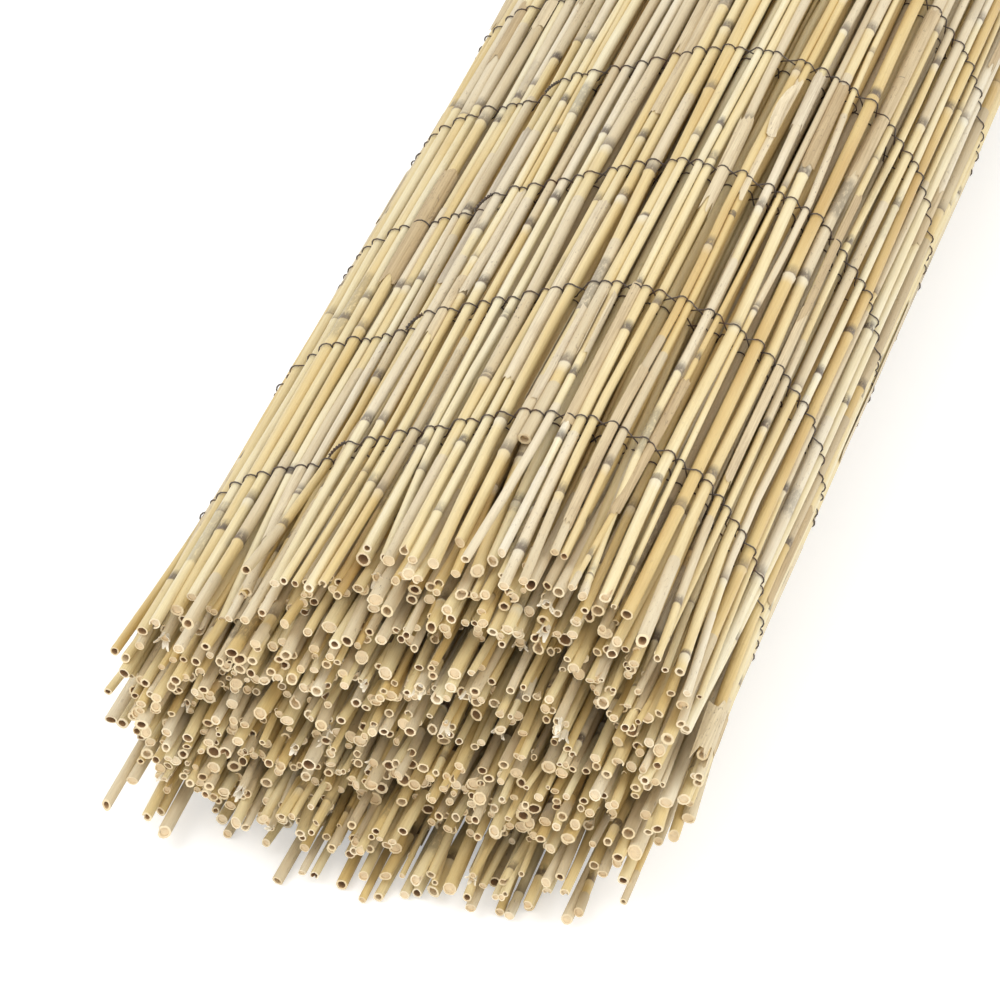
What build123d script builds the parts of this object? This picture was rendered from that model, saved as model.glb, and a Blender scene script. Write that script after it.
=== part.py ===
"""A reed screening mat, rolled up and lying on the ground.

Hundreds of dry reeds stand side by side and are bound into one wall by rows of thin iron wire.
The wall is rolled round a flat fold, so its section is a spiral that has slumped under its own weight:
each turn is a belt round two unequal circles, tall on the right and low on the left.
Frame: reeds along Y with the ragged end at -Y, X across the roll, Z up, floor at Z = 0.
"""

from build123d import *
import bisect
import math
import os
import random

# Driving dimensions, in millimetres
mat_length = 4000.0  # the mat unrolled, from its free edge to its inner edge
mat_height = 1000.0  # the longest reeds, which is the height of the screen when it stands
reed_diameter = 4.4  # a mean reed, which is the thickness of the wall
reed_pitch = 6.4  # mean distance from one reed to the next
ridge_depth = 2.2  # how far a reed stands out of the valleys beside it
crest_drop = 0.5  # how far the rounded crest of a reed falls before its straight flanks begin
turn_gap = 1.4  # clearance between two turns where the roll lies tightest
outer_width = 105.0  # between the middles of the two bends of the outer turn
core_width = 84.0  # the same at the core, which is a flat fold
core_radius = 2.6  # bend of the innermost turn
wire_diameter = 0.9
wire_seat = 0.1  # clearance between a wire and the reeds under it
wire_spacing = 100.0
wire_inset = 130.0  # from the tips of the longest reeds to the first wire
trim_step = 11.0  # reeds end short by none, one, two or three of these
gap_width = 1.1  # a slit between two reeds that don't touch
gap_length = 78.0

# Proportions and counts
slump = 0.16  # share by which the right side is taller, and the left side lower, than the mean
free_edge = 0.38  # how far along the sloping top the free edge of the mat lies
flank_share = 0.2  # share of a reed's width under each of its flanks
reed_variation = 0.25  # reeds are up to this share thicker or thinner than the mean
wire_stride = 3  # reeds under each straight length of wire
trim_run = 7  # reeds of an inner turn that end together
gap_stride = 5  # every so many reeds of the outer turn, one gap
low_share = 0.2  # share of the roll's height in which reeds count as low
low_steps = (0, 0, 1, 2, 3)  # trim steps of the low reeds, which reach furthest out
high_steps = (1, 2, 2, 3)  # and of the others

# Winding: the turns follow from the mat's length and thickness
TIGHTENING = (0.25, 0.5, 0.0, 0.25)  # shares of a turn's tightening: top, right bend, bottom, left bend
STEPS_PER_SIDE = 240
STRAIGHT = 0.01  # two lengths that turn less than this, in radians, are one
left_pitch = reed_diameter + turn_gap
mean_pitch = left_pitch / (1 - slump)
core_turns = core_radius / left_pitch
outer_turns = TIGHTENING[0] * (1 - free_edge) + TIGHTENING[1]
mean_width = (core_width + outer_width) / 2
wound = mat_length + 2 * mean_width * core_turns + math.pi * mean_pitch * core_turns**2
all_turns = (math.sqrt(mean_width**2 + math.pi * mean_pitch * wound) - mean_width) / (math.pi * mean_pitch)
turns = all_turns - outer_turns
left_radius = turns * left_pitch
right_radius = left_radius * (1 + slump) / (1 - slump)
reed_radius = reed_diameter / 2
wire_rows = int((mat_height - wire_inset) // wire_spacing) + 1


def belt_point(level, side, share):
    """A point on the belt round the two circles, whose radii shrink with level to the fold between them."""
    rise = right_radius - left_radius
    width = core_width + level * (outer_width - core_width)
    lean = math.atan2(rise, width)
    spread = math.asin(level * rise / math.hypot(width, rise))
    top, bottom = lean + spread + math.pi / 2, lean - spread - math.pi / 2

    def on_right(angle):
        x = width / 2 + level * right_radius * math.cos(angle)
        return x, right_radius + level * right_radius * math.sin(angle)

    def on_left(angle):
        x = -width / 2 + level * left_radius * math.cos(angle)
        return x, left_radius + level * left_radius * math.sin(angle)

    if side == 1:
        return on_right(top + share * (bottom - top))
    if side == 3:
        return on_left(bottom + share * (top - 2 * math.pi - bottom))
    start, end = (on_left(top), on_right(top)) if side == 0 else (on_right(bottom), on_left(bottom))
    return start[0] + share * (end[0] - start[0]), start[1] + share * (end[1] - start[1])


def spiral_path():
    """Points along the middle of the wall, clockwise from the free edge to the core."""
    level, side, share = 1 + outer_turns / turns, 0, free_edge
    points = []
    while level * left_radius > core_radius:
        points.append(belt_point(level, side, share))
        level -= TIGHTENING[side] / turns / STEPS_PER_SIDE
        share += 1 / STEPS_PER_SIDE
        if share >= 1:
            side, share = (side + 1) % len(TIGHTENING), share - 1
    return points


path = spiral_path()
travelled = [0.0]
for (x0, z0), (x1, z1) in zip(path, path[1:]):
    travelled.append(travelled[-1] + math.hypot(x1 - x0, z1 - z0))


def heading(distance):
    """Direction of the wall that far along it, in radians."""
    i = min(max(bisect.bisect_right(travelled, distance) - 1, 1), len(path) - 3)
    (x0, z0), (x1, z1) = path[i - 1], path[i + 2]
    return math.atan2(z1 - z0, x1 - x0)


def wall_point(distance, outwards):
    """The point that far along the wall, moved outwards from its middle."""
    i = min(max(bisect.bisect_right(travelled, distance) - 1, 0), len(path) - 2)
    (x0, z0), (x1, z1) = path[i], path[i + 1]
    share = (distance - travelled[i]) / (travelled[i + 1] - travelled[i])
    angle = heading(distance)
    x = x0 + share * (x1 - x0) - outwards * math.sin(angle)
    return x, z0 + share * (z1 - z0) + outwards * math.cos(angle)


# Reeds: the valleys between them, as distances along the wall, and where the outer turn ends
rng = random.Random(41)
valleys = [0.0]
while valleys[-1] + reed_pitch * (1 + reed_variation) < travelled[-1]:
    valleys.append(valleys[-1] + reed_pitch * rng.uniform(1 - reed_variation, 1 + reed_variation))
reed_count = len(valleys) - 1
outer_reeds = bisect.bisect_right(valleys, travelled[STEPS_PER_SIDE * len(TIGHTENING)]) - 1
valley_height = reed_radius - ridge_depth
crest_height = reed_radius - crest_drop


def reed_point(i, share, outwards):
    """A point over reed i: share 0 is the valley before it and 1 the valley after it."""
    return wall_point(valleys[i] + share * (valleys[i + 1] - valleys[i]), outwards)


def reed_heading(i):
    """Direction of the wall at the middle of reed i."""
    return heading((valleys[i] + valleys[i + 1]) / 2)


def straight_lengths(seats, outwards):
    """Straight lengths along the wall, each laid against it at one of these reeds, that far from its middle."""
    points = [reed_point(seats[0], 0.5, outwards)]
    for first, end in zip(seats, seats[1:]):
        (x0, z0), (x1, z1) = reed_point(first, 0.5, outwards), reed_point(end, 0.5, outwards)
        start, finish = reed_heading(first), reed_heading(end)
        if abs(math.sin(finish - start)) > STRAIGHT:
            reach = ((x1 - x0) * math.sin(finish) - (z1 - z0) * math.cos(finish)) / math.sin(finish - start)
            if 0 < reach < math.hypot(x1 - x0, z1 - z0):
                points.append((x0 + reach * math.cos(start), z0 + reach * math.sin(start)))
    return points + [reed_point(seats[-1], 0.5, outwards)]


# Wires: they touch every few reeds, from the free edge round to where the mat goes under it
wire_seats = list(range(0, outer_reeds - 2, wire_stride)) + [outer_reeds - 2]


def wire_side(lift):
    """One long side of a wire, lifted that far off the reeds."""
    return straight_lengths(wire_seats, reed_radius + wire_seat + lift)


floor_lift = reed_radius + wire_seat + wire_diameter
outer_side = wire_side(wire_diameter)
centre_shift = -(min(x for x, z in outer_side) + max(x for x, z in outer_side)) / 2


def placed(points, floor=0.0):
    """Points of the section moved to the part's frame, with what would sink below the floor lying on it."""
    return [(x + centre_shift, max(z + floor_lift, floor)) for x, z in points]


near_end = Plane.XZ.offset(mat_height / 2)

# The mat: one spiral wall with a ridge for each reed
BEND_LIMIT = 0.3  # the most that the wall turns along one straight length of its inner face, in radians
RUN_LIMIT = 8  # and the most reeds along it

inner_seats = [0]
for i in range(1, reed_count - 1):
    bend = abs(math.remainder(reed_heading(i + 1) - reed_heading(inner_seats[-1]), 2 * math.pi))
    if bend > BEND_LIMIT or i - inner_seats[-1] >= RUN_LIMIT:
        inner_seats.append(i)
inner_face = [wall_point(0, -reed_radius)] + straight_lengths(inner_seats, -reed_radius)
inner_face.append(wall_point(valleys[-1], -reed_radius))

inner_ridges = []
for i in range(outer_reeds, reed_count):
    inner_ridges += [reed_point(i, 0, valley_height), reed_point(i, 0.5, reed_radius)]
inner_ridges.append(wall_point(valleys[-1], valley_height))


def trim_outline(first, end):
    """Round the wall of reeds first to end, half way into the gaps to the turns beside it."""
    reach = reed_radius + turn_gap / 3
    outside = []
    for i in range(first, end):
        outside += [reed_point(i, 0, reach), reed_point(i, 0.5, reach)]
    outside.append(wall_point(valleys[end], reach))
    inside = [wall_point(valleys[i], -reach) for i in range(end, first - 1, -1)]
    return placed(outside + inside)


trims = {1: [], 2: [], 3: []}
first = 0
while first < reed_count:
    run = rng.randint(1, 2) if first < outer_reeds else rng.randint(trim_run - 1, trim_run + 1)
    end = min(first + run, reed_count)
    low = wall_point(valleys[first], 0)[1] < low_share * 2 * right_radius
    steps = rng.choice(low_steps if low else high_steps)
    if steps:
        trims[steps].append(trim_outline(first, end))
    first = end

gap_planes = []
for i in range(gap_stride, outer_reeds, gap_stride):
    x, z = placed([wall_point(valleys[i], 0)])[0]
    y = -mat_height / 2 + wire_inset + (rng.randrange(wire_rows - 1) + 0.5) * wire_spacing
    angle = heading(valleys[i])
    gap_planes.append(Plane((x, y, z), x_dir=(0, 1, 0), z_dir=(-math.sin(angle), 0, math.cos(angle))))

with BuildPart() as reed_roll:
    with BuildSketch(near_end):
        with BuildLine():
            for i in range(outer_reeds):
                valley, next_valley = placed([reed_point(i, share, valley_height) for share in (0, 1)])
                rise = reed_point(i, flank_share, crest_height)
                fall = reed_point(i, 1 - flank_share, crest_height)
                crest = placed([rise, reed_point(i, 0.5, reed_radius), fall])
                Line(valley, crest[0])
                ThreePointArc(*crest)
                Line(crest[2], next_valley)
            Polyline(*placed(inner_ridges + inner_face[::-1] + [wall_point(0, valley_height)]))
        make_face()
    extrude(amount=-mat_height)
    for steps, outlines in trims.items():
        with BuildSketch(near_end):
            for outline in outlines:
                with BuildLine():
                    Polyline(*outline, close=True)
                make_face()
        extrude(amount=-steps * trim_step, mode=Mode.SUBTRACT)
    with Locations(*gap_planes):
        Box(gap_length, gap_width, reed_diameter + turn_gap, mode=Mode.SUBTRACT)
reed_roll.part.label = "reed_roll"

os.makedirs("parts", exist_ok=True)
export_step(reed_roll.part, "parts/reed_roll.step")

# Binding wires: one to each row, all alike
wire_profile = placed(outer_side) + placed(wire_side(0), wire_diameter)[::-1]
for row in range(wire_rows):
    row_plane = near_end.offset(-wire_inset - row * wire_spacing + wire_diameter / 2)
    with BuildPart() as binding_wire:
        with BuildSketch(row_plane):
            with BuildLine():
                Polyline(*wire_profile, close=True)
            make_face()
        extrude(amount=-wire_diameter)
    name = f"binding_wire_{row + 1}"
    binding_wire.part.label = name
    export_step(binding_wire.part, f"parts/{name}.step")
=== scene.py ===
"""The looks of a reed screening mat, rolled up and lying on the ground.

Each reed of the spiral wall becomes a hollow cane with its joints, its papery sheath and a cut end.
Thinner reeds lie against many of those in the inner turns, and each row of binding becomes two thin wires
twined round the reeds of the outer turn.
Metres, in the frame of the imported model: reeds along Y with the ragged end at -Y, floor at Z = 0.
"""

import bisect
import math
import random

import bpy
import numpy as np
from mathutils import Matrix, Vector


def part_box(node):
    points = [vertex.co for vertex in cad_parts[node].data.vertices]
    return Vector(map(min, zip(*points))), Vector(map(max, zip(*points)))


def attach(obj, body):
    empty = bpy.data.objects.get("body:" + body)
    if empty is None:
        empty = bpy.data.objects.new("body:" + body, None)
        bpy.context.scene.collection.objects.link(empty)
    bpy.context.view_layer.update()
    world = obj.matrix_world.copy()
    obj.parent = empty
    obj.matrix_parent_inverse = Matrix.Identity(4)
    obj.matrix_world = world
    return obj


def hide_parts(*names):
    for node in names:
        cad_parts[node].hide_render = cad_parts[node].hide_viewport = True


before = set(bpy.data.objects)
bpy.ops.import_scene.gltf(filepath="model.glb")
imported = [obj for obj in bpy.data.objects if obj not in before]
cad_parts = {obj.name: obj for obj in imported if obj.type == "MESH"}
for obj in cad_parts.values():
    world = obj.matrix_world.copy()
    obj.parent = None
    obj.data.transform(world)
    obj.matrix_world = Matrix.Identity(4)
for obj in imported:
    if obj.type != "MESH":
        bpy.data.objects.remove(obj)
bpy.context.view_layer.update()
MM = 0.001

# The mat as the solids have it
MAT_LENGTH = 4000 * MM
REED_DIAMETER = 4.4 * MM
REED_PITCH = 6.4 * MM
REED_VARIATION = 0.25
TURN_GAP = 1.4 * MM
OUTER_WIDTH = 105 * MM
CORE_WIDTH = 84 * MM
CORE_RADIUS = 2.6 * MM
SLUMP = 0.16
FREE_EDGE = 0.38  # place of the free edge, as a share of the top
TOP, RIGHT, BOTTOM, LEFT = range(4)
TIGHTENING = (0.25, 0.5, 0.0, 0.25)  # share of a turn's pitch lost along the top, right, bottom and left
STEPS_PER_SIDE = 240
WALL_SEED = 41
TRIM_STEP = 11 * MM
TRIM_RUN = 7
LOW_SHARE = 0.2
LOW_STEPS = (0, 0, 1, 2, 3)
HIGH_STEPS = (1, 2, 2, 3)
WIRE_SPACING = 100 * MM
WIRE_INSET = 130 * MM
WIRE_DIAMETER = 0.9 * MM

roll_low, roll_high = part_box("reed_roll")
NEAR_END, FAR_END = roll_low.y, roll_high.y
FIRST_ROW = NEAR_END + WIRE_INSET
wire_nodes = sorted(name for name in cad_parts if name.startswith("binding_wire"))


# Winding of the mat
left_pitch = REED_DIAMETER + TURN_GAP
mean_pitch = left_pitch / (1 - SLUMP)
core_turns = CORE_RADIUS / left_pitch
outer_turns = TIGHTENING[0] * (1 - FREE_EDGE) + TIGHTENING[1]
mean_width = (CORE_WIDTH + OUTER_WIDTH) / 2
wound = MAT_LENGTH + 2 * mean_width * core_turns + math.pi * mean_pitch * core_turns**2
all_turns = (math.sqrt(mean_width**2 + math.pi * mean_pitch * wound) - mean_width) / (math.pi * mean_pitch)
turns = all_turns - outer_turns
left_radius = turns * left_pitch
right_radius = left_radius * (1 + SLUMP) / (1 - SLUMP)


def belt_point(level, side, share):
    """A point on the belt round the two circles, whose radii shrink with level to the fold between them."""
    rise = right_radius - left_radius
    width = CORE_WIDTH + level * (OUTER_WIDTH - CORE_WIDTH)
    lean = math.atan2(rise, width)
    taper = math.asin(level * rise / math.hypot(width, rise))
    top, bottom = lean + taper + math.pi / 2, lean - taper - math.pi / 2

    def on_right(angle):
        x = width / 2 + level * right_radius * math.cos(angle)
        return x, right_radius + level * right_radius * math.sin(angle)

    def on_left(angle):
        x = -width / 2 + level * left_radius * math.cos(angle)
        return x, left_radius + level * left_radius * math.sin(angle)

    if side == RIGHT:
        return on_right(top + share * (bottom - top))
    if side == LEFT:
        return on_left(bottom + share * (top - math.tau - bottom))
    start, end = (on_right(bottom), on_left(bottom)) if side == BOTTOM else (on_left(top), on_right(top))
    return start[0] + share * (end[0] - start[0]), start[1] + share * (end[1] - start[1])


def spiral_path():
    """Points along the middle of the wall, clockwise from the free edge to the core."""
    level, side, share = 1 + outer_turns / turns, TOP, FREE_EDGE
    points = []
    while level * left_radius > CORE_RADIUS:
        points.append(belt_point(level, side, share))
        level -= TIGHTENING[side] / turns / STEPS_PER_SIDE
        share += 1 / STEPS_PER_SIDE
        if share >= 1:
            side, share = (side + 1) % len(TIGHTENING), share - 1
    return np.array(points)


path = spiral_path()
path += ((roll_low.x + roll_high.x) / 2, roll_low.z + REED_DIAMETER / 2) - np.array(
    ((path[:, 0].min() + path[:, 0].max()) / 2, path[:, 1].min())
)
travelled = np.concatenate([[0.0], np.cumsum(np.hypot(*np.diff(path, axis=0).T))])
headings = np.gradient(path, axis=0)
headings /= np.linalg.norm(headings, axis=1)[:, None]


# Reeds: where each stands in the section, how thick it is and how short it is cut
plan = random.Random(WALL_SEED)
valleys = [0.0]
while valleys[-1] + REED_PITCH * (1 + REED_VARIATION) < travelled[-1]:
    valleys.append(valleys[-1] + REED_PITCH * plan.uniform(1 - REED_VARIATION, 1 + REED_VARIATION))
valleys = np.array(valleys)
reed_count = len(valleys) - 1
turn_steps = STEPS_PER_SIDE * len(TIGHTENING)
outer_reeds = bisect.bisect_right(valleys, travelled[turn_steps]) - 1
second_reeds = bisect.bisect_right(valleys, travelled[2 * turn_steps]) - 1

middles = (valleys[:-1] + valleys[1:]) / 2
home = np.stack([np.interp(middles, travelled, path[:, i]) for i in (0, 1)], axis=1)
along = np.stack([np.interp(middles, travelled, headings[:, i]) for i in (0, 1)], axis=1)
along /= np.linalg.norm(along, axis=1)[:, None]
outward = np.stack([-along[:, 1], along[:, 0]], axis=1)
valley_heights = np.interp(valleys, travelled, path[:, 1]) - path[:, 1].min()

set_back = []
while len(set_back) < reed_count:
    first = len(set_back)
    run = plan.randint(1, 2) if first < outer_reeds else plan.randint(TRIM_RUN - 1, TRIM_RUN + 1)
    low = valley_heights[first] < LOW_SHARE * 2 * right_radius
    steps = plan.choice(LOW_STEPS if low else HIGH_STEPS)
    set_back += [steps * TRIM_STEP] * min(run, reed_count - first)
set_back = np.array(set_back)

# Thickness: by chance, as a share of each reed's room in the wall
LOOKS_SEED = 7
USUAL_SHARE, SHARE_SCATTER = 0.7, 0.17
SMALLEST_SHARE, LARGEST_SHARE = 0.45, 1.05
THINNEST, THICKEST = 2.7 * MM, 7 * MM
chance = np.random.default_rng(LOOKS_SEED)
drawn_share = np.exp(chance.normal(math.log(USUAL_SHARE), SHARE_SCATTER, reed_count))
thickness_share = np.clip(drawn_share, SMALLEST_SHARE, LARGEST_SHARE)
radii = np.clip(np.diff(valleys) * thickness_share, THINNEST, THICKEST) / 2

# Doubled reeds: in the inner turns many reeds are bound with a thinner one lying against them
DOUBLED_SHARE = 0.62
DOUBLED_SIZE = 0.86
is_doubled = (chance.random(reed_count) < DOUBLED_SHARE) & (np.arange(reed_count) >= outer_reeds)
doubled = np.nonzero(is_doubled)[0]
home = np.concatenate([home, home[doubled] - outward[doubled] * mean_pitch / 2])
along = np.concatenate([along, along[doubled]])
outward = np.concatenate([outward, outward[doubled]])
radii = np.concatenate([radii, radii[doubled] * DOUBLED_SIZE])
set_back = np.concatenate([set_back, set_back[doubled]])
all_reeds = reed_count + len(doubled)
is_outer = np.arange(all_reeds) < outer_reeds

# Tips: ragged at the near end, almost even at the far end
NEAR_RAGGED, FAR_RAGGED = 12 * MM, 5 * MM
SHORT_REED, SHORT_BY = 12, 18 * MM  # one reed on the top ends just before the first row of wire
near_tips = NEAR_END + set_back + chance.uniform(0, NEAR_RAGGED, all_reeds)
near_tips[SHORT_REED] = FIRST_ROW - SHORT_BY
far_tips = FAR_END - chance.uniform(0, FAR_RAGGED, all_reeds)


def settled(places, floor, rounds=90, pull=0.04, give=0.8, spare=0.1 * MM, reach=14 * MM):
    """The section after the reeds have pushed each other apart, each drawn back to its own place."""
    gaps = np.linalg.norm(places[:, None] - places[None], axis=2)
    a, b = np.nonzero(np.triu(gaps < reach, 1))
    spots = places.copy()
    for _ in range(rounds):
        apart = spots[b] - spots[a]
        distance = np.linalg.norm(apart, axis=1) + 1e-9
        overlap = np.maximum(radii[a] + radii[b] + spare - distance, 0)
        push = apart * (overlap / distance / 2)[:, None] * give
        np.add.at(spots, b, push)
        np.add.at(spots, a, -push)
        spots += (places - spots) * pull
        spots[:, 1] = np.maximum(spots[:, 1], floor + radii)
    return spots


# Sections: the reeds shift a little from each row of wire to the next, and spread at their free near tips
SHIFT_ALONG = 1.2 * MM
SHIFT_OUT = 0.4 * MM
SHIFT_KEPT = 0.5  # share of a shift that carries on to the next row
TIP_SPREAD = 3.6 * MM
TIP_FLOOR = 0.5 * MM
RIGHT_SPLAY = 3.5 * MM
row_places = FIRST_ROW + np.arange(len(wire_nodes)) * WIRE_SPACING
stations = np.concatenate([[NEAR_END], row_places, [FAR_END]])
sections = []
shift = np.zeros((all_reeds, 2))
for _ in stations[1:]:
    shift = shift * SHIFT_KEPT + chance.normal(0, (SHIFT_ALONG, SHIFT_OUT), (all_reeds, 2))
    sections.append(settled(home + along * shift[:, :1] + outward * shift[:, 1:], WIRE_DIAMETER))
splay = np.where(is_outer, np.maximum(outward[:, 0], 0) * RIGHT_SPLAY, 0)
tip_places = sections[0] + chance.normal(0, TIP_SPREAD, (all_reeds, 2)) + outward * splay[:, None]
sections.insert(0, settled(tip_places, TIP_FLOOR))
sections = np.array(sections)
slopes = np.gradient(sections, stations, axis=0)


def reed_centre(i, y):
    """Where reed i is at each y: a smooth curve through its places in the sections."""
    y = np.clip(np.asarray(y, float), stations[0], stations[-1])
    k = np.clip(np.searchsorted(stations, y) - 1, 0, len(stations) - 2)
    gap = (stations[k + 1] - stations[k])[:, None]
    t = (y - stations[k])[:, None] / gap
    start = (1 + 2 * t) * (1 - t) ** 2 * sections[k, i] + t * (1 - t) ** 2 * gap * slopes[k, i]
    return start + t**2 * (3 - 2 * t) * sections[k + 1, i] + t**2 * (t - 1) * gap * slopes[k + 1, i]


class Piece:
    """Gathers the grids of one mesh, with a finish for each face and values for each point."""

    VALUES = ("tone", "cover", "joint", "smudge", "bloom")
    SHARP_ANGLE = 50

    def __init__(self, name):
        self.name = name
        self.points, self.faces, self.finishes = [], [], []
        self.values = {value: [] for value in self.VALUES}
        self.count = 0

    def add(self, points, faces, finishes, **values):
        self.points.append(points)
        self.faces += [[corner + self.count for corner in face] for face in faces]
        self.finishes += finishes
        for value in self.VALUES:
            self.values[value].append(np.broadcast_to(values.get(value, 0.0), len(points)))
        self.count += len(points)

    def add_tube(self, rings, finishes, **values):
        """A tube through rings of points, with a face across each end. Values are one for each ring."""
        count, sides = rings.shape[:2]
        faces, kinds = [], []
        for i in range(count - 1):
            for j in range(sides):
                k = (j + 1) % sides
                faces.append((i * sides + j, i * sides + k, (i + 1) * sides + k, (i + 1) * sides + j))
            kinds += [finishes[i]] * sides
        faces.append(tuple(range(sides))[::-1])
        faces.append(tuple((count - 1) * sides + j for j in range(sides)))
        kinds += [finishes[0], finishes[-1]]
        for name, value in values.items():
            if np.ndim(value):
                values[name] = np.repeat(value, sides)
        self.add(rings.reshape(-1, 3), faces, kinds, **values)

    def add_sheet(self, top, bottom, finish, **values):
        """A thin sheet between two grids of points, closed round its edge."""
        rows, columns = top.shape[:2]
        size = rows * columns
        corners = [i * columns + j for i in range(rows - 1) for j in range(columns - 1)]
        faces = [(k, k + 1, k + columns + 1, k + columns) for k in corners]
        faces += [tuple(size + corner for corner in face[::-1]) for face in faces]
        rim = list(range(columns))
        rim += [i * columns + columns - 1 for i in range(1, rows)]
        rim += [(rows - 1) * columns + j for j in range(columns - 2, -1, -1)]
        rim += [i * columns for i in range(rows - 2, 0, -1)]
        for a, b in zip(rim, rim[1:] + rim[:1]):
            faces.append((b, a, size + a, size + b))
        points = np.concatenate([top.reshape(-1, 3), bottom.reshape(-1, 3)])
        a, b, c, d = (points - points.mean(axis=0))[np.array(faces)].transpose(1, 0, 2)
        if np.sum(a * (np.cross(b, c) + np.cross(c, d))) < 0:
            faces = [face[::-1] for face in faces]
        self.add(points, faces, [finish] * len(faces), **values)

    def make(self, materials):
        """The finished piece, riding on the part."""
        mesh = bpy.data.meshes.new(self.name)
        mesh.from_pydata(np.concatenate(self.points).tolist(), [], self.faces)
        for material in materials:
            mesh.materials.append(material)
        mesh.polygons.foreach_set("material_index", self.finishes)
        mesh.polygons.foreach_set("use_smooth", [True] * len(mesh.polygons))
        for value, parts in self.values.items():
            layer = mesh.attributes.new(value, "FLOAT", "POINT")
            layer.data.foreach_set("value", np.concatenate(parts).astype(np.float32))
        mesh.update()
        mesh.validate()
        mesh.set_sharp_from_angle(angle=math.radians(self.SHARP_ANGLE))
        piece = bpy.data.objects.new(self.name, mesh)
        bpy.context.collection.objects.link(piece)
        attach(piece, "root")
        return piece


# Finishes of a reed, in the order of its materials, and of a piece that has only one
CANE, CUT, BORE, PITH = range(4)
ONLY_FINISH = 0

# Tone, from dark to pale, and how much of a reed keeps its sheath: inner reeds are darker and barer
INNER_TONE, INNER_SHEATHS = 0.8, 0.4
tones = chance.beta(1.5, 1.3, all_reeds) * np.where(is_outer, 1.0, INNER_TONE)
sheathed = chance.random(all_reeds) * np.where(is_outer, 1.0, INNER_SHEATHS)
NEAR_SHARE, FAR_SHARE = 0.9, 1.06  # a reed's thickness at its thin near end and at its far end
SHEATH_SKIN = 0.25 * MM

# Joints and stains of a reed, with ranges of length in millimetres
REED_SEED = 1000
FIRST_JOINT = (8, 150)
JOINT_GAP = (115, 205)
INNER_JOINTS = 120 * MM  # inner reeds have joints only this near to their tips, where they can be seen
STAIN_CHANCES, STAINED_SHARE = 2, 0.3
STAIN_LENGTH = (18, 70)
STAIN_DARKNESS = (0.15, 0.6)
STAIN_FADE = 5 * MM

# Mouth of a reed: a deep bore, or pith that is flush or sunk, by share of the reeds.
# Bores are shares of a reed's thickness, depths are in millimetres.
OPEN_BORE, OPEN_DEPTH = (0.58, 0.76), (14, 26)
FLUSH_PITH, FLUSH_BORE, FLUSH_DEPTH = 0.5, (0.66, 0.84), (0.2, 0.9)
SUNK_PITH, SUNK_BORE, SUNK_DEPTH = 0.74, (0.58, 0.72), (2, 4.5)

# Cut of a reed: steepest slant in degrees, uneven edge and, on some, one deep chip, both in millimetres
CUT_SLANTS = (6, 10, 16, 28)
CUT_UNEVEN = (0, 0.4)
CHIPPED_SHARE, CHIP_DEPTH = 0.14, (1.5, 5)


def length_between(rng, low, high):
    """A length by chance, between low and high in millimetres."""
    return rng.uniform(low, high) * MM


def bare_radius(i, y):
    """Radius of reed i without joints and sheath."""
    return radii[i] * (NEAR_SHARE + (FAR_SHARE - NEAR_SHARE) * (y - NEAR_END) / (FAR_END - NEAR_END))


def reed_joints(i, rng):
    """Places of the joints along reed i."""
    places = []
    y = near_tips[i] + length_between(rng, *FIRST_JOINT)
    gap = length_between(rng, *JOINT_GAP)
    while y < far_tips[i] - 15 * MM:
        if is_outer[i] or y < near_tips[i] + INNER_JOINTS:
            places.append(y)
        y += gap * rng.uniform(0.85, 1.15)
    return places


# Rings at a joint: place along the reed, swelling, then joint, smudge and bloom, which the materials read
JOINT_RINGS = (
    (-8 * MM, 0.0, 0.0, 0.0, 0.0), (-3 * MM, 0.05, 0.0, 0.0, 0.8), (-0.7 * MM, 0.7, 0.15, 0.0, 1.0),
    (0.0, 1.0, 1.0, 0.9, 0.2), (0.8 * MM, 0.25, 0.45, 1.0, 0.0), (3.4 * MM, -0.05, 0.0, 0.9, 0.0),
    (8 * MM, 0.0, 0.0, 0.0, 0.0),
)


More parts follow.
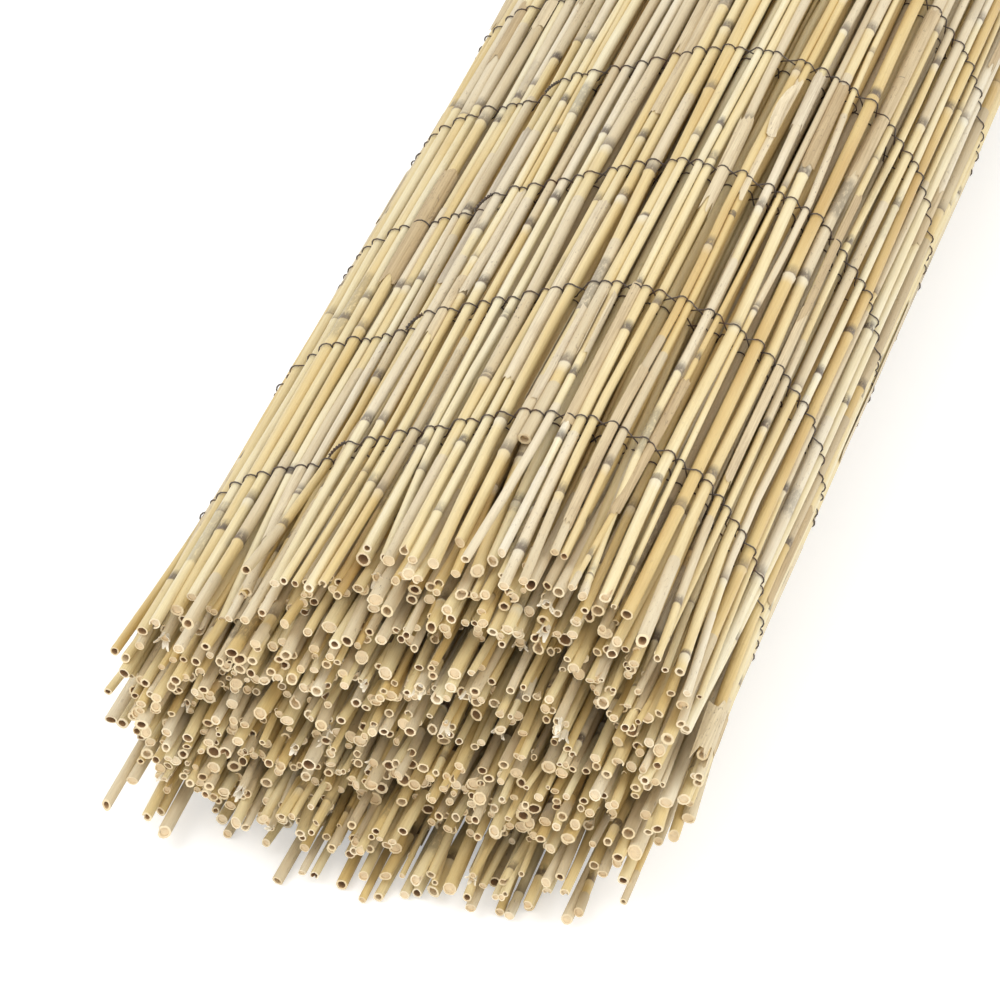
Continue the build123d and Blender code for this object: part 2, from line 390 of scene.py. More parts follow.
def reed_profile(i, rng, step):
    """Rings along the outside of reed i, from near to far: y, radius and the values for its materials."""
    start, end = near_tips[i], far_tips[i]
    first, last = start + 2 * MM, end - 3 * MM
    joints = reed_joints(i, rng)
    plain = (0.0, 0.0, 0.0, 0.0)
    rings = [(y, *plain) for y in (start, start + 14 * MM, end - 2 * MM, end)]
    rings += [(y, *plain) for y in np.arange(start + step, end - step / 2, step)]
    for y in joints:
        swell, dark, pale = rng.uniform(0.05, 0.15), rng.random() ** 0.55, rng.random() ** 1.8
        for offset, rise, joint, smudge, bloom in JOINT_RINGS:
            if first < y + offset < last:
                rings.append((y + offset, rise * swell, joint, smudge * dark, bloom * pale))
    stains = []
    for _ in range(STAIN_CHANCES):
        if rng.random() < STAINED_SHARE:
            y0 = start + rng.uniform(5 * MM, (end - start) * 0.9 if is_outer[i] else 90 * MM)
            y1 = y0 + length_between(rng, *STAIN_LENGTH)
            stains.append((y0, y1, rng.uniform(*STAIN_DARKNESS)))
            edges = (y0, y0 + STAIN_FADE, y1 - STAIN_FADE, y1)
            rings += [(y, *plain) for y in edges if first < y < last]
    covers = []
    bounds = [start] + joints + [end]
    for y0, y1 in zip(bounds, bounds[1:]):
        if rng.random() < 0.2 + 0.6 * sheathed[i]:
            edge = y0 + (y1 - y0) * rng.uniform(0.4, 1.05)
            covers.append((y0, min(edge, y1)))
            if edge < y1 - 8 * MM:
                rings += [(edge - 0.4 * MM, *plain), (edge + 0.4 * MM, *plain)]
    rings.sort()
    kept = [rings[0]]
    for ring in rings[1:]:
        if ring[0] - kept[-1][0] > 0.3 * MM:
            kept.append(ring)
    y, rise, joint, smudge, bloom = (np.array(column, float) for column in zip(*kept))
    for y0, y1, dark in stains:
        inside = (y > y0 + 4 * MM) & (y < y1 - 4 * MM)
        smudge[inside] = np.maximum(smudge[inside], dark)
    cover = np.zeros(len(y))
    for y0, y1 in covers:
        cover[(y >= y0) & (y < y1)] = 1
    thick = bare_radius(i, y) * (1 + rise) + cover * rng.uniform(0.4, 1) * SHEATH_SKIN
    return y, thick, {"cover": cover, "joint": joint, "smudge": smudge, "bloom": bloom}


def reed_tube(piece, i, sides, step):
    """One hollow reed, from the floor of its far bore, along its outside, to the floor of its near bore."""
    rng = random.Random(REED_SEED + i)
    y, thick, values = reed_profile(i, rng, step)
    filling = rng.random()
    bore, depth, floor_finish = rng.uniform(*OPEN_BORE), length_between(rng, *OPEN_DEPTH), BORE
    if filling < FLUSH_PITH:
        bore, depth, floor_finish = rng.uniform(*FLUSH_BORE), length_between(rng, *FLUSH_DEPTH), PITH
    elif filling < SUNK_PITH:
        bore, depth, floor_finish = rng.uniform(*SUNK_BORE), length_between(rng, *SUNK_DEPTH), PITH
    mouth, back = thick[0] * bore, thick[-1] * bore
    places = np.array([y[-1] - depth, y[-1], *y[::-1], y[0], y[0] + depth])
    sizes = np.array([back, back, *thick[::-1], mouth, mouth * 0.94])
    angles = np.arange(sides) * math.tau / sides + rng.uniform(0, 1)
    centres = reed_centre(i, places)
    squash = 1 + rng.uniform(-0.1, 0.1)
    rings = np.empty((len(places), sides, 3))
    rings[:, :, 0] = centres[:, :1] + sizes[:, None] * np.cos(angles) * squash
    rings[:, :, 1] = places[:, None]
    rings[:, :, 2] = centres[:, 1:] + sizes[:, None] * np.sin(angles) / squash
    slope = rng.choice(CUT_SLANTS)
    slant = math.tan(math.radians(rng.uniform(-slope, slope)))
    cut = np.cos(angles - rng.uniform(0, math.tau)) * slant
    chips = np.array([length_between(rng, *CUT_UNEVEN) for _ in range(sides)])
    if rng.random() < CHIPPED_SHARE:
        chips[rng.randrange(sides)] += length_between(rng, *CHIP_DEPTH)
    rings[-3, :, 1] += cut * sizes[-3] + chips
    rings[-2, :, 1] += cut * sizes[-2] + chips
    rings[-1, :, 1] += cut * sizes[-1] + chips.mean()
    finishes = [floor_finish, CUT] + [CANE] * (len(y) - 1) + [CUT, floor_finish]
    padded = {name: np.array((0, 0, *value[::-1], 0, 0), float) for name, value in values.items()}
    piece.add_tube(rings, finishes, tone=tones[i], **padded)


# Sheaths: papery leaf bases that still wrap some reeds, torn at their ends
SHEATH_FACES = (0.2 * MM, 0.06 * MM)  # heights of its two faces above the reed's own skin
STRIP_FACES = (0.14 * MM, 0.0)
SPLINTER_FACES = (0.32 * MM, 0.0)


def torn_sheath(piece, i, y0, y1, wrap, facing, lift, rng):
    """A sheath round part of reed i, from y0 to y1, its long edges standing off the cane."""
    columns = 9
    rows = max(4, int((y1 - y0) / (14 * MM)))
    share = np.linspace(-1, 1, columns)
    y = np.linspace(y0, y1, rows)
    teeth = np.array([rng.uniform(-1, 1) for _ in range(columns)])
    grid_y = np.repeat(y[:, None], columns, axis=1)
    grid_y[0] += teeth * rng.uniform(2, 7) * MM
    grid_y[-1] += teeth[::-1] * rng.uniform(1, 4) * MM
    angles = facing + share * wrap / 2
    layers = []
    for skin in SHEATH_FACES:
        radius = bare_radius(i, grid_y) + SHEATH_SKIN + skin + lift * np.abs(share) ** 3
        centres = np.stack([reed_centre(i, grid_y[:, j]) for j in range(columns)], axis=1)
        x = centres[:, :, 0] + radius * np.cos(angles)
        z = centres[:, :, 1] + radius * np.sin(angles)
        layers.append(np.stack([x, grid_y, z], axis=2))
    piece.add_sheet(*layers, ONLY_FINISH, tone=rng.random())


def outward_angle(i):
    """Which way reed i faces out of the roll."""
    return math.atan2(outward[i, 1], outward[i, 0])


def away_and_across(angle):
    """The way out of a reed at an angle round it, and the way across that."""
    away = np.array((math.cos(angle), math.sin(angle)))
    return away, np.array((-away[1], away[0]))


def leaf_strip(piece, i, y0, length, width, curl, end_twist, rng):
    """A loose strip of leaf that lies along reed i and curls away from it at one end."""
    columns, rows = 5, 14
    share = np.linspace(0, 1, rows)
    y = y0 + share * length
    centres = reed_centre(i, np.clip(y, near_tips[i], far_tips[i]))
    away, side = away_and_across(outward_angle(i))
    rise = radii[i] + 0.5 * MM + curl * share**2.2
    drift = np.sin(share * math.pi * 0.9) * rng.uniform(-3, 3) * MM
    narrow = width * np.sqrt(np.clip(1 - share**4, 0.02, 1))
    twist = end_twist * share
    across = np.linspace(-0.5, 0.5, columns)
    flat = across[None] * narrow[:, None]
    cup = 0.25 * narrow[:, None] * (across[None] * 2) ** 2
    layers = []
    for skin in STRIP_FACES:
        u = drift[:, None] + flat * np.cos(twist)[:, None] - (cup + skin) * np.sin(twist)[:, None]
        v = rise[:, None] + flat * np.sin(twist)[:, None] + (cup + skin) * np.cos(twist)[:, None]
        x = centres[:, :1] + u * side[0] + v * away[0]
        z = centres[:, 1:] + u * side[1] + v * away[1]
        layers.append(np.stack([x, np.repeat(y[:, None], columns, axis=1), np.maximum(z, 0.3 * MM)], axis=2))
    piece.add_sheet(*layers, ONLY_FINISH, tone=rng.random())


def frayed_end(piece, i, rng):
    """Flat pale splinters that stand out of the cut end of reed i."""
    centre = reed_centre(i, [near_tips[i]])[0]
    share = np.linspace(-0.3, 1, 6)
    grown = np.clip(share, 0, 1)
    across = np.array((-0.5, 0.0, 0.5))
    for _ in range(rng.randint(3, 6)):
        away, side = away_and_across(rng.uniform(0, math.tau))
        length, width = length_between(rng, 1.8, 5), length_between(rng, 1.2, 2.4)
        lean = rng.uniform(0.0, 0.55)
        y = near_tips[i] - length * share * (1 - 0.35 * lean * grown)
        reach = bare_radius(i, near_tips[i]) * 0.92 + length * lean * grown**1.7
        flat = across[None] * (width * (1 - 0.6 * grown**2))[:, None]
        layers = []
        for skin in SPLINTER_FACES:
            v = reach[:, None] + skin - 0.35 * np.abs(flat)
            x = centre[0] + v * away[0] + flat * side[0]
            z = np.maximum(centre[1] + v * away[1] + flat * side[1], 0.2 * MM + skin)
            layers.append(np.stack([x, np.repeat(y[:, None], len(across), axis=1), z], axis=2))
        piece.add_sheet(*layers, ONLY_FINISH, tone=rng.uniform(0.5, 0.8), bloom=rng.uniform(0.4, 1))


# Wires: two to a row, each over one reed and under the next, and on under the free edge
STRAND_RADIUS = 0.35 * MM
STRAND_SIDES = 6
UNDER_REEDS = 60  # reeds under the free edge that a wire still passes
BENDS = (-58, -30, 0, 30, 58)  # degrees round a reed
ROUTE_SEED, TAIL_SEED = 300, 400
wired_reeds = outer_reeds + UNDER_REEDS


def wire_route(row_y, phase, rng):
    """Points along one wire of a row, from the free edge once round the roll and on under that edge."""
    points = []
    wander = rng.uniform(0, math.tau)
    swing = length_between(rng, 0.6, 1.5)
    for i in range(wired_reeds):
        y = row_y + swing * math.sin(i * 0.13 + wander) + 0.4 * MM * math.sin(i * 0.9 + wander * 3)
        centre = reed_centre(i, [y])[0]
        over = 1 if (i + phase) % 2 == 0 else -1
        girth = bare_radius(i, y) + SHEATH_SKIN + WIRE_DIAMETER * 0.5
        slant = 0.55 * WIRE_DIAMETER * (1 if phase else -1)
        for bend in np.radians(BENDS):
            spot = centre + girth * (math.sin(bend) * along[i] + over * math.cos(bend) * outward[i])
            points.append((spot[0], y + slant * math.sin(bend) * over, max(spot[1], WIRE_DIAMETER * 0.5)))
    return np.array(points)


def strand(piece, points):
    """A round wire along points."""
    ahead = np.gradient(points, axis=0)
    ahead /= np.linalg.norm(ahead, axis=1)[:, None]
    flank = np.cross(ahead, (0.0, 1.0, 0.0))
    flank /= np.linalg.norm(flank, axis=1)[:, None]
    rise = np.cross(flank, ahead)
    angles = -np.arange(STRAND_SIDES) * math.tau / STRAND_SIDES
    rings = points[:, None] + STRAND_RADIUS * (
        np.cos(angles)[None, :, None] * flank[:, None] + np.sin(angles)[None, :, None] * rise[:, None]
    )
    piece.add_tube(rings, [ONLY_FINISH] * (len(points) - 1))


def twisted_tail(row_y, phase, rng):
    """The end of a wire, twisted with its pair for a few turns and bent back along the first reed."""
    twists, steps = 3.2, 26
    centre = reed_centre(0, [row_y])[0]
    away, back = outward[0], -along[0]
    share = np.linspace(0, 1, steps)
    angle = share * math.tau * twists + phase * math.pi
    base = centre + np.outer(radii[0] * (1.0 + 0.5 * np.sin(share * 2.4)), away)
    base += np.outer(radii[0] + share * 3.5 * MM, back)
    pair = WIRE_DIAMETER * 0.55
    x = base[:, 0] + pair * np.cos(angle) * away[0]
    z = base[:, 1] + pair * np.cos(angle) * away[1]
    y = row_y - share * rng.uniform(9, 15) * MM + pair * np.sin(angle)
    return np.stack([x, y, z], axis=1)


# Materials
def srgb(red, green, blue):
    """A colour written as it looks, as the linear values that a shader takes."""
    channels = [value / 255 for value in (red, green, blue)]
    return (*[c / 12.92 if c <= 0.04045 else ((c + 0.055) / 1.055) ** 2.4 for c in channels], 1.0)


def place(tree, kind, inputs=None, **settings):
    """A node in the tree, with its settings and the plain values of its inputs."""
    node = tree.nodes.new(kind)
    for name, value in settings.items():
        setattr(node, name, value)
    for name, value in (inputs or {}).items():
        node.inputs[name].default_value = value
    return node


def ramp(tree, source, stops):
    """A colour ramp fed by source."""
    node = place(tree, "ShaderNodeValToRGB")
    elements = node.color_ramp.elements
    while len(elements) < len(stops):
        elements.new(0.5)
    for element, (position, colour) in zip(elements, stops):
        element.position = position
        element.color = colour
    tree.links.new(source, node.inputs["Fac"])
    return node.outputs["Color"]


# Sockets of a Mix node that mixes colours
MIX_FACTOR, MIX_FIRST, MIX_SECOND, MIX_RESULT = 0, 6, 7, 2


def feed(tree, entry, value):
    """Give an input another node's socket to follow, or a plain value."""
    if isinstance(value, bpy.types.NodeSocket):
        tree.links.new(value, entry)
    else:
        entry.default_value = value


def mixed(tree, factor, first, second, blend="MIX"):
    """Two colours mixed. A factor or colour is a socket or a plain value."""
    node = place(tree, "ShaderNodeMix", data_type="RGBA", blend_type=blend)
    for socket, value in ((MIX_FACTOR, factor), (MIX_FIRST, first), (MIX_SECOND, second)):
        feed(tree, node.inputs[socket], value)
    return node.outputs[MIX_RESULT]


def sums(tree, operation, first, second, clamp=False):
    """Two numbers joined by a sum. Each is a socket or a plain value."""
    node = place(tree, "ShaderNodeMath", operation=operation, use_clamp=clamp)
    feed(tree, node.inputs[0], first)
    feed(tree, node.inputs[1], second)
    return node.outputs[0]


def times(tree, first, second, clamp=False):
    """Two numbers multiplied."""
    return sums(tree, "MULTIPLY", first, second, clamp)


def ranged(tree, source, low, high, start=0.0, end=1.0):
    """A number moved from one range to another, clamped."""
    limits = {"From Min": low, "From Max": high, "To Min": start, "To Max": end}
    node = place(tree, "ShaderNodeMapRange", limits)
    tree.links.new(source, node.inputs["Value"])
    return node.outputs["Result"]


def stretched_noise(tree, stretch, detail=3.0, roughness=0.6):
    """Noise over the object's own place, stretched along the reeds. stretch is cycles in a metre."""
    where = place(tree, "ShaderNodeTexCoord")
    mapping = place(tree, "ShaderNodeMapping", {"Scale": stretch})
    tree.links.new(where.outputs["Object"], mapping.inputs["Vector"])
    noise = place(tree, "ShaderNodeTexNoise", {"Scale": 1.0, "Detail": detail, "Roughness": roughness})
    tree.links.new(mapping.outputs["Vector"], noise.inputs["Vector"])
    return noise.outputs["Fac"]


def new_group(name, inputs, outputs):
    """An empty shader group with float inputs (name to default) and float outputs."""
    group = bpy.data.node_groups.new(name, "ShaderNodeTree")
    for label, default in inputs.items():
        entry = group.interface.new_socket(label, in_out="INPUT", socket_type="NodeSocketFloat")
        entry.default_value = default
    for label in outputs:
        group.interface.new_socket(label, in_out="OUTPUT", socket_type="NodeSocketFloat")
    return group, place(group, "NodeGroupInput"), place(group, "NodeGroupOutput")


def fibre_group():
    """Fine lines along the reed, with broad pale and dark stretches between its joints."""
    group, entry, result = new_group("Reed fibres", {"Contrast": 1.0}, ("Lines", "Stretches"))
    fine = stretched_noise(group, (1500, 22, 1500), 4.0, 0.65)
    lines = ranged(group, fine, 0.3, 0.7)
    group.links.new(sums(group, "POWER", lines, entry.outputs["Contrast"]), result.inputs["Lines"])
    broad = stretched_noise(group, (90, 9, 90), 2.0, 0.5)
    group.links.new(ranged(group, broad, 0.32, 0.68), result.inputs["Stretches"])
    return group


def weather_group():
    """Specks and smudges of mould and dirt, as masks."""
    masks = ("Specks", "Smudges", "Mottle")
    group, entry, result = new_group("Weathering", {"Specks": 0.5, "Smudges": 0.5}, masks)
    small = ranged(group, stretched_noise(group, (900, 260, 900), 3.0, 0.7), 0.58, 0.72)
    zones = ranged(group, stretched_noise(group, (60, 13, 60), 2.0, 0.5), 0.42, 0.66)
    specks = times(group, times(group, small, zones), entry.outputs["Specks"], True)
    group.links.new(specks, result.inputs["Specks"])
    cloud = ranged(group, stretched_noise(group, (240, 34, 240), 4.0, 0.6), 0.5, 0.75)
    group.links.new(times(group, cloud, entry.outputs["Smudges"], True), result.inputs["Smudges"])
    mottle = ranged(group, stretched_noise(group, (700, 240, 700), 4.0, 0.7), 0.28, 0.5)
    group.links.new(mottle, result.inputs["Mottle"])
    return group


FIBRES = fibre_group()
WEATHER = weather_group()


def grouped(tree, group, **values):
    """A shader group in the tree, with the plain values of its inputs."""
    return place(tree, "ShaderNodeGroup", values, node_tree=group)


def blank(name):
    """A material with an empty tree but for its Principled shader and output."""
    material = bpy.data.materials.new(name)
    material.use_nodes = True
    tree = material.node_tree
    return material, tree, tree.nodes["Principled BSDF"]


def value_of(tree, name):
    """A value that the mesh carries for each point."""
    return place(tree, "ShaderNodeAttribute", attribute_name=name).outputs["Fac"]


def raised(tree, shader, height, distance, strength):
    """Bump from a height."""
    bump = place(tree, "ShaderNodeBump", {"Distance": distance, "Strength": strength})
    tree.links.new(height, bump.inputs["Height"])
    tree.links.new(bump.outputs["Normal"], shader.inputs["Normal"])


def cane_material():
    """Dry cane: golden and glossy where bare, pale and dull where sheathed, charred past each joint."""
    material, tree, shader = blank("Dry reed cane")
    fibres = grouped(tree, FIBRES, Contrast=1.0)
    weather = grouped(tree, WEATHER, Specks=0.7, Smudges=0.5)
    tone, cover = value_of(tree, "tone"), value_of(tree, "cover")
    stretches = times(tree, fibres.outputs["Stretches"], 0.3)
    shade = sums(tree, "ADD", times(tree, tone, 0.7), stretches, True)
    bare = ramp(tree, shade, [
        (0.0, srgb(204, 170, 106)), (0.25, srgb(224, 198, 136)),
        (0.6, srgb(237, 221, 174)), (1.0, srgb(243, 236, 208)),
    ])
    papery = ramp(tree, shade, [
        (0.0, srgb(192, 172, 138)), (0.3, srgb(216, 200, 165)),
        (0.65, srgb(231, 218, 188)), (1.0, srgb(241, 234, 213)),
    ])
    colour = mixed(tree, cover, bare, papery)
    lined = times(tree, fibres.outputs["Lines"], 0.22)
    colour = mixed(tree, lined, colour, srgb(182, 152, 108), "MULTIPLY")
    colour = mixed(tree, times(tree, weather.outputs["Smudges"], 0.5), colour, srgb(198, 168, 118))
    grime = times(tree, weather.outputs["Specks"], ranged(tree, cover, 0.0, 1.0, 0.35, 1.0))
    colour = mixed(tree, grime, colour, srgb(120, 98, 78))
    char = times(tree, value_of(tree, "smudge"), weather.outputs["Mottle"], True)
    colour = mixed(tree, times(tree, char, 0.95), colour, srgb(78, 67, 61))
    colour = mixed(tree, times(tree, value_of(tree, "bloom"), 0.6), colour, srgb(232, 228, 214))
    colour = mixed(tree, times(tree, value_of(tree, "joint"), 0.6), colour, srgb(104, 82, 66))
    tree.links.new(colour, shader.inputs["Base Color"])
    rough = ranged(tree, cover, 0.0, 1.0, 0.42, 0.64)
    rough = sums(tree, "ADD", rough, times(tree, fibres.outputs["Lines"], 0.1))
    tree.links.new(rough, shader.inputs["Roughness"])
    raised(tree, shader, fibres.outputs["Lines"], 0.00025, 0.5)
    return material


def cut_material():
    """The cut wall of a reed: pale straw with darker fibres."""
    material, tree, shader = blank("Cut reed end")
    fibres = grouped(tree, FIBRES, Contrast=0.8)
    weather = grouped(tree, WEATHER, Smudges=0.35)
    tone = value_of(tree, "tone")
    colour = ramp(tree, tone, [
        (0.0, srgb(218, 199, 158)), (0.5, srgb(228, 212, 176)), (1.0, srgb(236, 226, 200)),
    ])
    colour = mixed(tree, times(tree, fibres.outputs["Lines"], 0.2), colour, srgb(200, 164, 118))
    colour = mixed(tree, weather.outputs["Smudges"], colour, srgb(186, 146, 100))
    tree.links.new(colour, shader.inputs["Base Color"])
    shader.inputs["Roughness"].default_value = 0.8
    raised(tree, shader, fibres.outputs["Lines"], 0.0003, 0.6)
    return material


def pith_material():
    """Pith across the mouth of a reed: soft, cream and mottled."""
    material, tree, shader = blank("Reed pith")
    weather = grouped(tree, WEATHER)
    tone = value_of(tree, "tone")
    colour = ramp(tree, tone, [
        (0.0, srgb(210, 188, 150)), (0.6, srgb(225, 207, 173)), (1.0, srgb(235, 222, 194)),
    ])
    colour = mixed(tree, times(tree, weather.outputs["Mottle"], 0.3), colour, srgb(198, 164, 116))
    tree.links.new(colour, shader.inputs["Base Color"])
    shader.inputs["Roughness"].default_value = 0.9
    raised(tree, shader, weather.outputs["Mottle"], 0.0004, 0.7)
    return material


def bore_material():
    """The inside of a reed: dull brown, paler in stretches."""
    material, tree, shader = blank("Reed bore")
    fibres = grouped(tree, FIBRES, Contrast=1.0)
    colour = ramp(tree, fibres.outputs["Stretches"], [(0.0, srgb(150, 112, 76)), (1.0, srgb(206, 172, 128))])
    tree.links.new(colour, shader.inputs["Base Color"])
    shader.inputs["Roughness"].default_value = 0.9
    raised(tree, shader, fibres.outputs["Lines"], 0.0002, 0.4)
    return material


def sheath_material():
    """Papery leaf sheath: pale, dull and finely veined, with grey weathering."""
    material, tree, shader = blank("Leaf sheath")
    fibres = grouped(tree, FIBRES, Contrast=1.4)
    weather = grouped(tree, WEATHER, Specks=0.8, Smudges=0.45)
    tone = value_of(tree, "tone")
    colour = ramp(tree, tone, [
        (0.0, srgb(202, 178, 136)), (0.4, srgb(228, 210, 172)),
        (0.75, srgb(240, 226, 194)), (1.0, srgb(212, 200, 178)),
    ])
    lined = times(tree, fibres.outputs["Lines"], 0.4)
    colour = mixed(tree, lined, colour, srgb(150, 124, 90), "MULTIPLY")
    colour = mixed(tree, weather.outputs["Smudges"], colour, srgb(166, 140, 106))
    colour = mixed(tree, weather.outputs["Specks"], colour, srgb(120, 100, 82))
    colour = mixed(tree, times(tree, value_of(tree, "bloom"), 0.85), colour, srgb(243, 237, 222))
    tree.links.new(colour, shader.inputs["Base Color"])
    shader.inputs["Roughness"].default_value = 0.72
    raised(tree, shader, fibres.outputs["Lines"], 0.0003, 0.7)
    return material


def wire_material():
    """Thin annealed iron wire: dark, half dull, browned in places."""
    material, tree, shader = blank("Annealed wire")
    weather = grouped(tree, WEATHER, Smudges=1.0)
    colour = mixed(tree, weather.outputs["Smudges"], srgb(92, 84, 78), srgb(96, 66, 46))
    tree.links.new(colour, shader.inputs["Base Color"])
    shader.inputs["Metallic"].default_value = 0.7
    rough = ranged(tree, weather.outputs["Smudges"], 0.0, 1.0, 0.42, 0.7)
    tree.links.new(rough, shader.inputs["Roughness"])
    raised(tree, shader, weather.outputs["Smudges"], 0.0001, 0.4)
    return material


reed_finishes = [cane_material(), cut_material(), bore_material(), pith_material()]
sheath_finish = sheath_material()
wire_finish = wire_material()


# Pieces: reeds by turn, with the sides of a reed and the spacing of its rings
TURNS = {
    "outer_reeds": (range(0, outer_reeds), 12, 44 * MM),
    "second_turn_reeds": (range(outer_reeds, second_reeds), 10, 90 * MM),
    "inner_reeds": (range(second_reeds, reed_count), 9, 240 * MM),
    "doubled_reeds": (range(reed_count, all_reeds), 9, 240 * MM),
}
for turn_name, (turn_reeds, reed_sides, ring_step) in TURNS.items():
    bundle = Piece(turn_name)
    for reed in turn_reeds:
        reed_tube(bundle, reed, reed_sides, ring_step)
    made = bundle.make(reed_finishes)
    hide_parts("reed_roll")

# Leaf scraps that the photo shows, by reed and place from the first row of wire
FRAYED_REEDS = (868, 536, 584, 553, 939)
LIFTED_SHEATHS = (  # with length, angle round the reed and lift of the edges
    (84, 246 * MM, 44 * MM, 3.2, 1.4 * MM),
    (33, -98 * MM, 30 * MM, 4.2, 2.2 * MM),
    (36, -76 * MM, 24 * MM, 3.8, 1.8 * MM),
    (38, -52 * MM, 20 * MM, 3.6, 1.6 * MM),
)
LIFTED_LEAN = 0.4
SLIT_SHEATHS = ((11, 8 * MM, 70 * MM), (13, 42 * MM, 48 * MM))  # with length
SLIT_WRAP, SLIT_LIFT = 5.5, 0.7 * MM

# Other leaf scraps, placed by chance
LEAF_SEED = 5
TORN_SHEATHS, LEAF_STRIPS, FRAYED_ENDS = 70, 9, 22

# Pieces: sheaths, strips and frayed ends
draw = random.Random(LEAF_SEED)
leaves = Piece("leaf_sheaths")
for _ in range(TORN_SHEATHS):
    reed = draw.randrange(outer_reeds)
    near = draw.uniform(NEAR_END + 50 * MM, FAR_END - 170 * MM)
    facing = outward_angle(reed) + draw.uniform(-0.8, 0.8)
    far = near + length_between(draw, 40, 150)
    wrap = draw.uniform(2.0, 4.2)
    lift = length_between(draw, 0.1, 0.9)
    torn_sheath(leaves, reed, near, far, wrap, facing, lift, draw)
for _ in range(LEAF_STRIPS):
    reed = draw.randrange(outer_reeds)
    near = draw.uniform(NEAR_END + 30 * MM, FAR_END - 150 * MM)
    length, width = length_between(draw, 40, 110), length_between(draw, 3, 6)
    curl, end_twist = length_between(draw, 0.5, 2.5), draw.uniform(-0.6, 0.6)
    leaf_strip(leaves, reed, near, length, width, curl, end_twist, draw)
for reed in (*FRAYED_REEDS, *draw.sample(range(outer_reeds, all_reeds), FRAYED_ENDS)):
    frayed_end(leaves, reed, draw)
for reed, from_row, length, wrap, lift in LIFTED_SHEATHS:
    near = FIRST_ROW + from_row
    facing = outward_angle(reed) + LIFTED_LEAN
    torn_sheath(leaves, reed, near, near + length, wrap, facing, lift, draw)
for reed, from_row, length in SLIT_SHEATHS:
    near = FIRST_ROW + from_row
    facing = outward_angle(reed) + math.pi
    torn_sheath(leaves, reed, near, near + length, SLIT_WRAP, facing, SLIT_LIFT, draw)
made = leaves.make([sheath_finish])
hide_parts("reed_roll")

# Pieces: twined wires
for row, node in enumerate(wire_nodes):
    twine = Piece(f"twined_wire_{row + 1}")
    for phase in (0, 1):
        strand(twine, wire_route(row_places[row], phase, random.Random(ROUTE_SEED + row)))
        strand(twine, twisted_tail(row_places[row], phase, random.Random(TAIL_SEED + row)))
    made = twine.make([wire_finish])
    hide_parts(node)


# Stage
FLOOR_REACH = 12.0
FLOOR_GLOW = 0.4
STUDIO_LIGHT = 0.88


def seen_by(tree, *kinds):
    """One for rays of the named kinds, nought for all others."""
    rays = place(tree, "ShaderNodeLightPath")
    seen = rays.outputs[kinds[0]]
    for kind in kinds[1:]:
        seen = sums(tree, "MAXIMUM", seen, rays.outputs[kind])
    return seen


def floor_material():
    """White floor that keeps a soft shadow."""
    material, tree, shader = blank("White floor")
    shader.inputs["Base Color"].default_value = (0.8, 0.8, 0.8, 1)
    shader.inputs["Roughness"].default_value = 1.0
    shader.inputs["Specular IOR Level"].default_value = 0.0
    glow = place(tree, "ShaderNodeEmission", {"Strength": FLOOR_GLOW})
    seen = seen_by(tree, "Is Camera Ray", "Is Glossy Ray")
    both = place(tree, "ShaderNodeAddShader")
    choose = place(tree, "ShaderNodeMixShader")
    tree.links.new(shader.outputs[0], both.inputs[0])
    tree.links.new(glow.outputs[0], both.inputs[1])
    tree.links.new(seen, choose.inputs[0])
    tree.links.new(shader.outputs[0], choose.inputs[1])
    tree.links.new(both.outputs[0], choose.inputs[2])
    tree.links.new(choose.outputs[0], tree.nodes["Material Output"].inputs["Surface"])
    return material


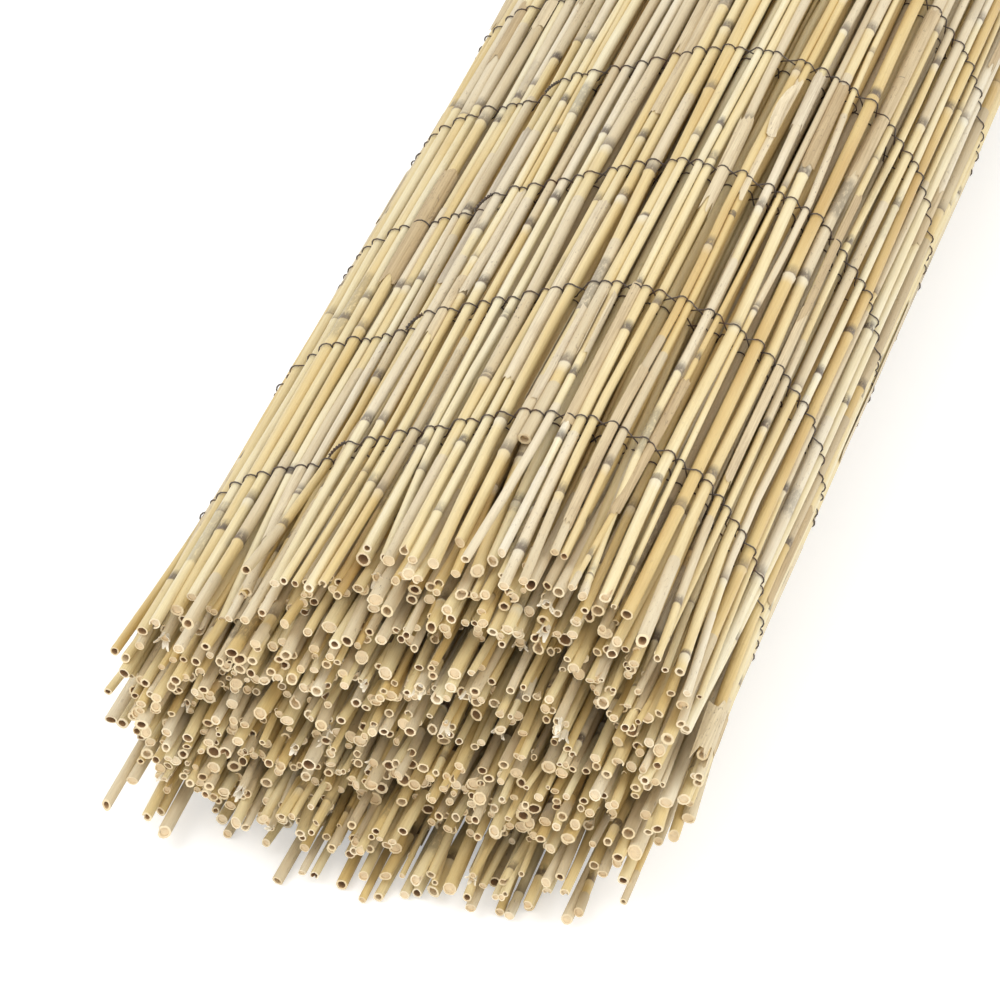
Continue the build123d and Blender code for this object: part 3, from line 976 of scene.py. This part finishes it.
def stage():
    """A white floor in a white studio, lit from all round."""
    mesh = bpy.data.meshes.new("floor")
    corners = [(x * FLOOR_REACH, y * FLOOR_REACH, 0) for x, y in ((-1, -1), (1, -1), (1, 1), (-1, 1))]
    mesh.from_pydata(corners, [], [(0, 1, 2, 3)])
    mesh.materials.append(floor_material())
    floor = bpy.data.objects.new("floor", mesh)
    bpy.context.collection.objects.link(floor)

    world = bpy.data.worlds.new("studio")
    bpy.context.scene.world = world
    world.use_nodes = True
    tree = world.node_tree
    seen = seen_by(tree, "Is Camera Ray", "Is Glossy Ray", "Is Transmission Ray")
    background = tree.nodes["Background"]
    background.inputs["Color"].default_value = (1, 1, 1, 1)
    tree.links.new(ranged(tree, seen, 0, 1, STUDIO_LIGHT, 1.0), background.inputs["Strength"])


def lamp(name, spot, aim, size, power):
    """A square lamp at a spot, turned to what it lights."""
    light = bpy.data.lights.new(name, "AREA")
    light.size = size
    light.energy = power
    holder = bpy.data.objects.new(name, light)
    bpy.context.collection.objects.link(holder)
    holder.location = spot
    holder.rotation_euler = (Vector(aim) - Vector(spot)).to_track_quat("-Z", "Y").to_euler()


# Camera as fitted to the photo: degrees round and down, lens in millimetres on a 36 mm sensor
CAMERA_TURN, CAMERA_DIP = 16.31, 33.85
CAMERA_SPOT = (0.582, -2.3204, 1.4754)
CAMERA_LENS = 220.5


def camera():
    """The photograph's view: a long lens, looking down on the ragged end from its right."""
    turn, dip = math.radians(CAMERA_TURN), math.radians(CAMERA_DIP)
    right = Vector((math.cos(turn), math.sin(turn), 0))
    ahead = Vector((-math.sin(turn) * math.cos(dip), math.cos(turn) * math.cos(dip), -math.sin(dip)))
    up = right.cross(ahead)
    data = bpy.data.cameras.new("photo_view")
    data.sensor_width = 36
    data.lens = CAMERA_LENS
    data.clip_start = 0.05
    holder = bpy.data.objects.new("photo_view", data)
    bpy.context.collection.objects.link(holder)
    facing_way = Matrix((right, up, -ahead)).transposed().to_4x4()
    holder.matrix_world = Matrix.Translation(CAMERA_SPOT) @ facing_way
    bpy.context.scene.camera = holder


stage()
lamp("key", (-1.1, -1.6, 2.6), (0, -0.2, 0.08), 1.6, 25)
lamp("fill", (2.2, -0.8, 1.6), (0, -0.1, 0.08), 2.0, 21)
lamp("front", (0.2, -2.7, 0.45), (0, -0.45, 0.07), 1.2, 21.5)
camera()
bpy.context.scene.view_settings.view_transform = "Standard"
